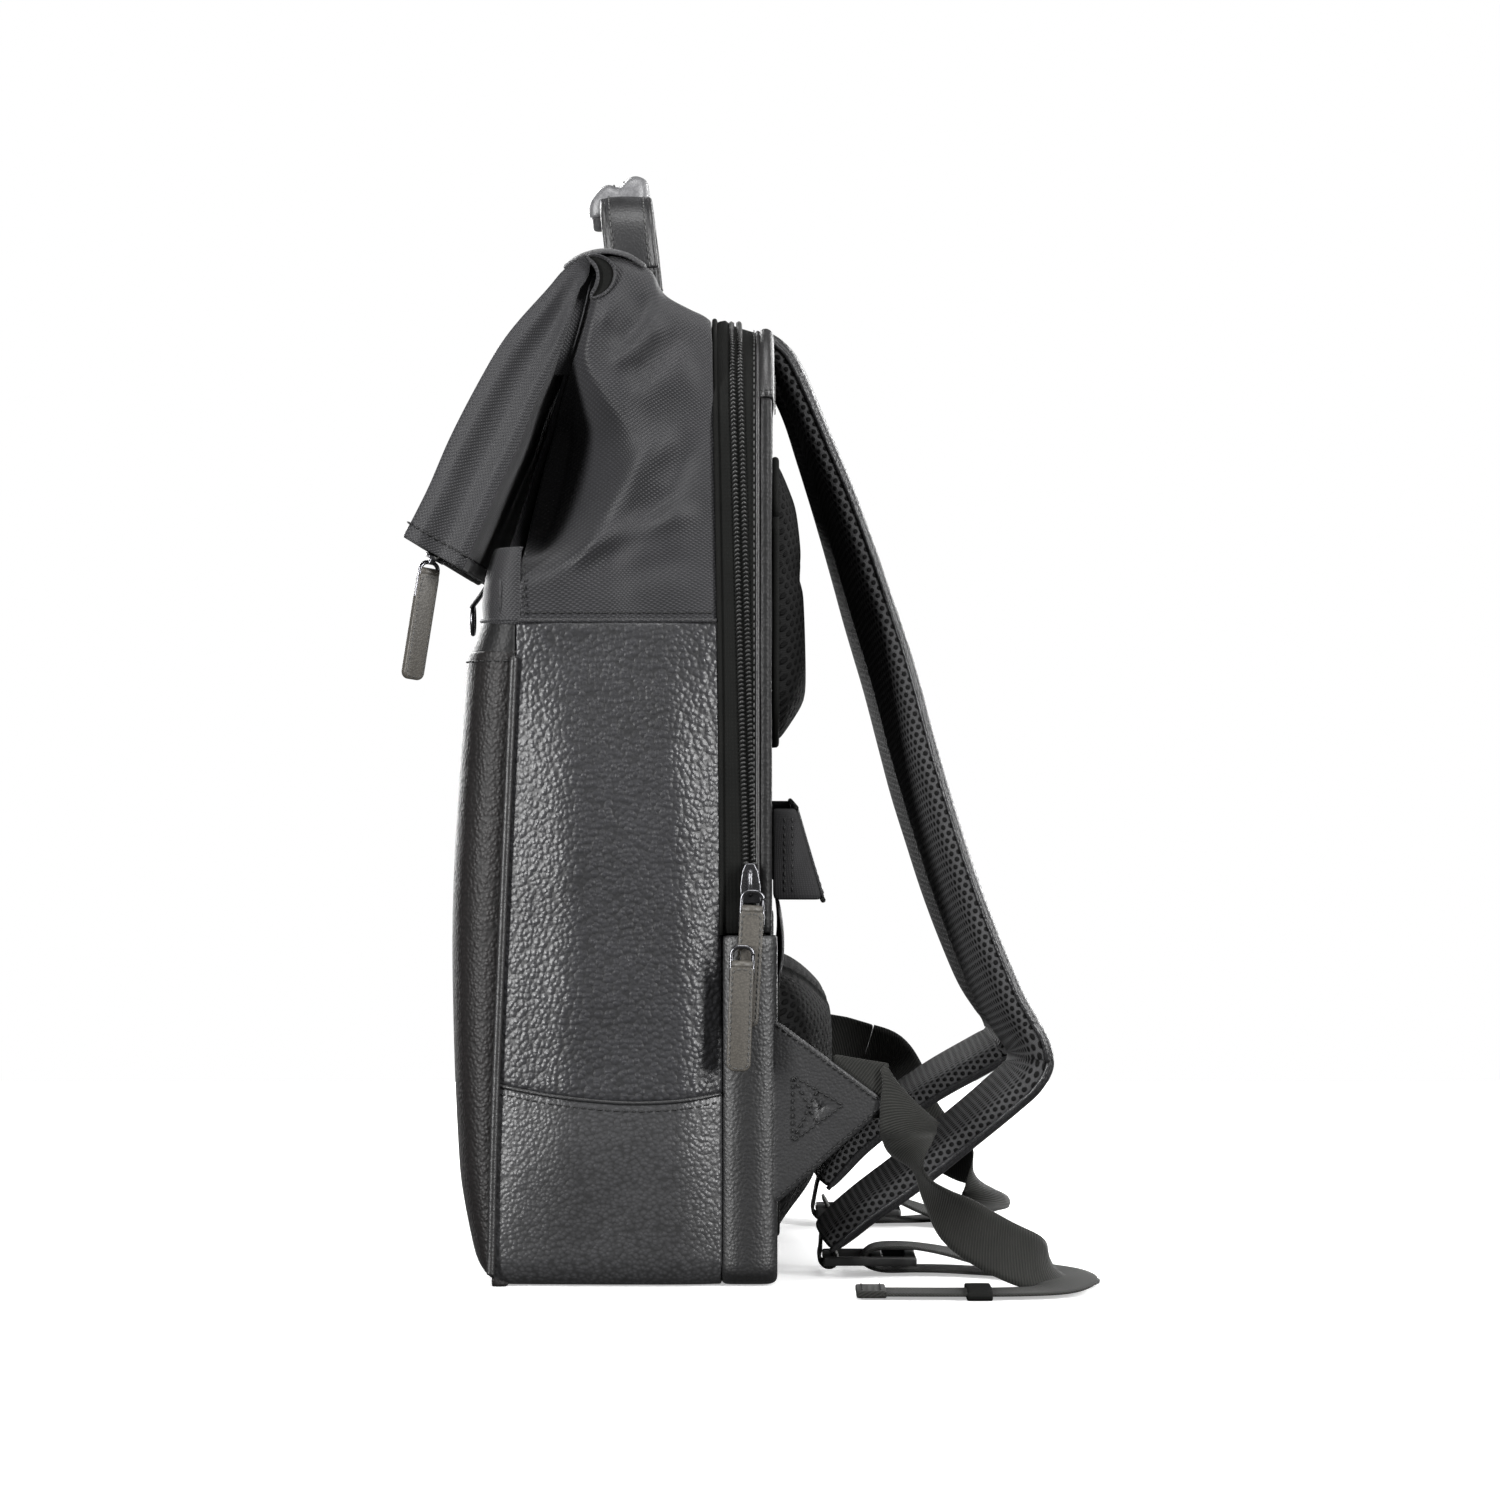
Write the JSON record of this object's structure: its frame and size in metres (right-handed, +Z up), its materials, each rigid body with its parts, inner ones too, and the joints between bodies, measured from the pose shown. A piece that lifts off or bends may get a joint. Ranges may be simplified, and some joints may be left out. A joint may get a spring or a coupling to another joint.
{
  "type": "roll-top backpack",
  "caption": "Leather and coated-fabric roll-top backpack with padded shoulder straps, top handle, zipped laptop compartment, front pocket and trolley strap.",
  "frame": {"origin": "centre of the underside of the base, on the surface the bag stands on", "axes": "+Z up, -Y towards the bag's front, +Y towards the harness and the wearer's back, +X to the wearer's right"},
  "size_m": [0.3517, 0.3089, 0.5046],
  "materials": {
    "leather_black": "satin pebbled grain",
    "leather_front": "soft sheen, brown-black",
    "leather_edge": "smooth, satin",
    "coated_fabric": "matt coated twill",
    "lining_fabric": "matt",
    "stiff_board": "matt",
    "zip_tape": "matt",
    "zip_coil": "satin",
    "air_mesh": "matt open mesh",
    "back_fabric": "matt twill",
    "webbing": "matt ribbed",
    "gunmetal": "dark polished",
    "puller_leather": "satin",
    "handle_leather": "satin",
    "handle_wrap": "soft sheen",
    "strap_leather": "satin",
    "foam": "matt",
    "black_plastic": "satin"
  },
  "bodies": {
    "bag": {"boot": "leather_black", "base_board": "stiff_board", "front_wall": "lining_fabric", "pocket_panel": "leather_front", "pocket_lip": "leather_black", "front_patch": "leather_black", "side_gusset_right": "leather_black", "side_gusset_left": "leather_black", "piping_right": "leather_edge", "piping_left": "leather_edge", "upper_side_right": "coated_fabric", "upper_side_left": "coated_fabric", "upper_front": "coated_fabric", "upper_back": "coated_fabric", "lining": "lining_fabric", "divider": "lining_fabric", "laptop_gusset": "leather_black", "zip_tape": "zip_tape", "zip_chain": "zip_coil", "back_edge": "leather_edge", "back_cap": "leather_edge", "back_panel": "back_fabric", "back_board": "stiff_board", "upper_pad_right": "air_mesh", "upper_pad_left": "air_mesh", "lumbar_pad": "air_mesh", "luggage_strap": "back_fabric", "binding_panel": "leather_black", "tab_right": "leather_black", "tab_left": "leather_black", "closure_peg": "gunmetal", "webbing_right": "webbing", "webbing_left": "webbing", "webbing_keeper": "webbing"},
    "flap_body": {"flap": "coated_fabric", "flap_zip": "zip_coil", "flap_loop": "leather_black"},
    "ring_body": {"closure_ring": "gunmetal"},
    "flap_slider_body": {"flap_slider": "gunmetal"},
    "flap_puller_body": {"flap_puller": "puller_leather"},
    "handle_body": {"handle": "handle_leather", "handle_wrap": "handle_wrap"},
    "upper_slider_body": {"zip_slider_upper": "gunmetal"},
    "upper_puller_body": {"puller_upper": "puller_leather"},
    "lower_slider_body": {"zip_slider_lower": "gunmetal"},
    "lower_puller_body": {"puller_lower": "puller_leather"},
    "strap_right_body": {"strap_leather_right": "strap_leather", "strap_foam_right": "foam", "strap_mesh_right": "air_mesh", "ladder_lock_right": "black_plastic"},
    "strap_left_body": {"strap_leather_left": "strap_leather", "strap_foam_left": "foam", "strap_mesh_left": "air_mesh", "ladder_lock_left": "black_plastic"}
  },
  "joints": [
    {"name": "flap_hinge", "type": "hinge", "parent": "bag", "child": "flap_body", "pos_m": [0, -0.014, 0.452], "axis": [-1, 0, 0], "range_deg": [0, 110]},
    {"name": "closure_ring_hinge", "type": "hinge", "parent": "flap_body", "child": "ring_body", "pos_m": [0, -0.0745, 0.3056], "axis": [1, 0, 0], "range_deg": [-60, 0]},
    {"name": "flap_slider_slide", "type": "slide", "parent": "flap_body", "child": "flap_slider_body", "axis": [-1, 0, 0], "range_m": [0, 0.27]},
    {"name": "flap_puller_hinge", "type": "hinge", "parent": "flap_slider_body", "child": "flap_puller_body", "pos_m": [0.138, -0.0845, 0.314], "axis": [-1, 0, 0], "range_deg": [0, 90]},
    {"name": "handle_hinge", "type": "hinge", "parent": "bag", "child": "handle_body", "pos_m": [0, 0.0142, 0.4568], "axis": [-1, 0, 0], "range_deg": [0, 70]},
    {"name": "zip_slide_upper", "type": "slide", "parent": "bag", "child": "upper_slider_body", "axis": [0, -0.0279, 0.9996], "range_m": [0, 0.18]},
    {"name": "puller_upper_hinge", "type": "hinge", "parent": "upper_slider_body", "child": "upper_puller_body", "pos_m": [0.1594, 0.0585, 0.174], "axis": [0, -1, 0], "range_deg": [0, 120]},
    {"name": "zip_slide_lower", "type": "slide", "parent": "bag", "child": "lower_slider_body", "axis": [0, -0.0279, 0.9996], "range_m": [0, 0.003]},
    {"name": "puller_lower_hinge", "type": "hinge", "parent": "lower_slider_body", "child": "lower_puller_body", "pos_m": [0.1634, 0.054, 0.15], "axis": [0, -1, 0], "range_deg": [0, 120]},
    {"name": "strap_right_hinge", "type": "hinge", "parent": "bag", "child": "strap_right_body", "pos_m": [0.052, 0.0685, 0.415], "axis": [1, 0, 0], "range_deg": [0, 35], "deforming": ["webbing_right", "webbing_keeper"]},
    {"name": "strap_left_hinge", "type": "hinge", "parent": "bag", "child": "strap_left_body", "pos_m": [-0.052, 0.0685, 0.415], "axis": [1, 0, 0], "range_deg": [0, 35], "deforming": ["webbing_left"]}
  ]
}
